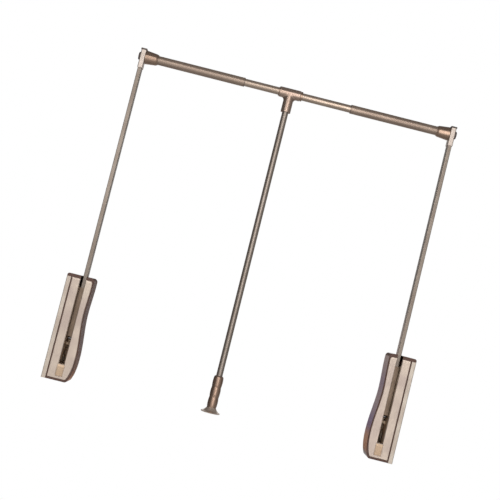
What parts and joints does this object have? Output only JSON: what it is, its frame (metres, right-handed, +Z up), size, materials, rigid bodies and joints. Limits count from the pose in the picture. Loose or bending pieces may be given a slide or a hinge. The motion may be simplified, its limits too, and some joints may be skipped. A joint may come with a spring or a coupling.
{
  "type": "pull-down closet rod",
  "caption": "Pull-down hanging rod for a wardrobe: two wall housings with sprung swing arms, a telescopic rod between them and a pull handle on a T connector.",
  "frame": {"origin": "middle of the lift at the level of the two housings' feet, half way between their front and back faces", "axes": "+X along the rod to the right-hand housing, -Y out of the wardrobe towards the user, +Z up"},
  "size_m": [0.882, 0.07, 0.85],
  "materials": {
    "champagne_cover": "champagne metallic lacquer on steel, satin",
    "cap_finish": "warmer champagne lacquer, satin",
    "brown_shell": "dark brown moulded plastic, gloss",
    "zinc_steel": "zinc-plated pressed steel",
    "bright_steel": "ground steel",
    "spring_steel": "oiled spring wire",
    "black_steel": "black lacquered damper tube",
    "black_rubber": "moulded rubber",
    "white_nylon": "natural nylon",
    "dark_nylon": "dark nylon",
    "bracket_finish": "champagne lacquer on folded steel",
    "arm_finish": "champagne-taupe lacquer on steel tube",
    "head_finish": "champagne lacquered zinc casting",
    "dark_cap": "dark brown plastic cap",
    "bronze_collar": "bronze lacquered turned metal",
    "bronze_casting": "bronze lacquered zinc casting, semi-gloss",
    "grip_bronze": "bronze lacquered turned metal, semi-gloss",
    "outer_tube_finish": "brushed taupe anodised aluminium",
    "inner_tube_finish": "champagne anodised aluminium, satin",
    "pull_tube_finish": "champagne anodised aluminium, satin"
  },
  "bodies": {
    "left_housing": {"left_wall_bracket": "champagne_cover", "left_mechanism_frame": "zinc_steel", "left_frame_spacers": "zinc_steel", "left_pivot_pin": "bright_steel", "left_lift_spring": "spring_steel", "left_spring_anchor": "zinc_steel", "left_damper_cylinder": "black_steel", "left_bump_stop": "black_rubber", "left_housing_shell": "brown_shell", "left_front_fascia": "champagne_cover", "left_slot_cap": "cap_finish", "left_cover_screws": "bright_steel"},
    "left_arm": {"left_swing_bracket": "bracket_finish", "left_pivot_bushes": "white_nylon", "left_crank_pin": "bright_steel", "left_arm_tube": "arm_finish", "left_arm_rivets": "bright_steel", "left_arm_head": "head_finish", "left_head_cap": "dark_cap", "left_rod_bolt": "dark_cap", "left_collar": "bronze_collar", "left_outer_tube": "outer_tube_finish", "left_tube_liner": "dark_nylon"},
    "left_plunger": {"left_plunger": "bright_steel", "left_crosshead": "zinc_steel", "left_damper_rod": "bright_steel"},
    "centre_rod": {"inner_tube": "inner_tube_finish", "stop_rings": "bronze_collar"},
    "pull_handle": {"tee_connector": "bronze_casting", "tee_bush": "dark_nylon", "stem_screw": "bright_steel", "pull_tube": "pull_tube_finish", "grip": "grip_bronze", "grip_foot": "grip_bronze"},
    "right_arm": {"right_swing_bracket": "bracket_finish", "right_pivot_bushes": "white_nylon", "right_crank_pin": "bright_steel", "right_arm_tube": "arm_finish", "right_arm_rivets": "bright_steel", "right_arm_head": "head_finish", "right_head_cap": "dark_cap", "right_rod_bolt": "dark_cap", "right_collar": "bronze_collar", "right_outer_tube": "outer_tube_finish", "right_tube_liner": "dark_nylon"},
    "right_housing": {"right_wall_bracket": "champagne_cover", "right_mechanism_frame": "zinc_steel", "right_frame_spacers": "zinc_steel", "right_pivot_pin": "bright_steel", "right_lift_spring": "spring_steel", "right_spring_anchor": "zinc_steel", "right_damper_cylinder": "black_steel", "right_bump_stop": "black_rubber", "right_housing_shell": "brown_shell", "right_front_fascia": "champagne_cover", "right_slot_cap": "cap_finish", "right_cover_screws": "bright_steel"},
    "right_plunger": {"right_plunger": "bright_steel", "right_crosshead": "zinc_steel", "right_damper_rod": "bright_steel"}
  },
  "joints": [
    {"name": "left_swing", "type": "hinge", "parent": "left_housing", "child": "left_arm", "pos_m": [-0.4, 0, 0.118], "axis": [1, 0, 0], "range_deg": [0, 105], "stiffness_Nm_per_rad": 7, "springref_deg": -28.65},
    {"name": "left_width", "type": "slide", "parent": "left_arm", "child": "centre_rod", "axis": [1, 0, 0], "range_m": [-0.088, 0.004]},
    {"name": "right_width", "type": "slide", "parent": "centre_rod", "child": "right_arm", "axis": [1, 0, 0], "range_m": [-0.122, 0.004]},
    {"name": "right_swing", "type": "hinge", "parent": "right_arm", "child": "right_housing", "pos_m": [0.4, 0, 0.118], "axis": [1, 0, 0], "range_deg": [-105, 0]},
    {"name": "handle_swivel", "type": "hinge", "parent": "centre_rod", "child": "pull_handle", "pos_m": [-0.02, 0, 0.831], "axis": [1, 0, 0], "continuous": true},
    {"name": "left_spring_lift", "type": "slide", "parent": "left_housing", "child": "left_plunger", "axis": [0, 0, 1], "range_m": [0, 0.0256], "deforming": ["left_lift_spring"]},
    {"name": "right_spring_lift", "type": "slide", "parent": "right_housing", "child": "right_plunger", "axis": [0, 0, 1], "range_m": [0, 0.0256], "deforming": ["right_lift_spring"]}
  ],
  "couplings": [
    {"joint": "right_swing", "follows": "left_swing", "ratio": -1},
    {"joint": "left_spring_lift", "follows": "left_swing", "m_per_rad": 0.013853},
    {"joint": "right_spring_lift", "follows": "left_swing", "m_per_rad": 0.013853}
  ]
}
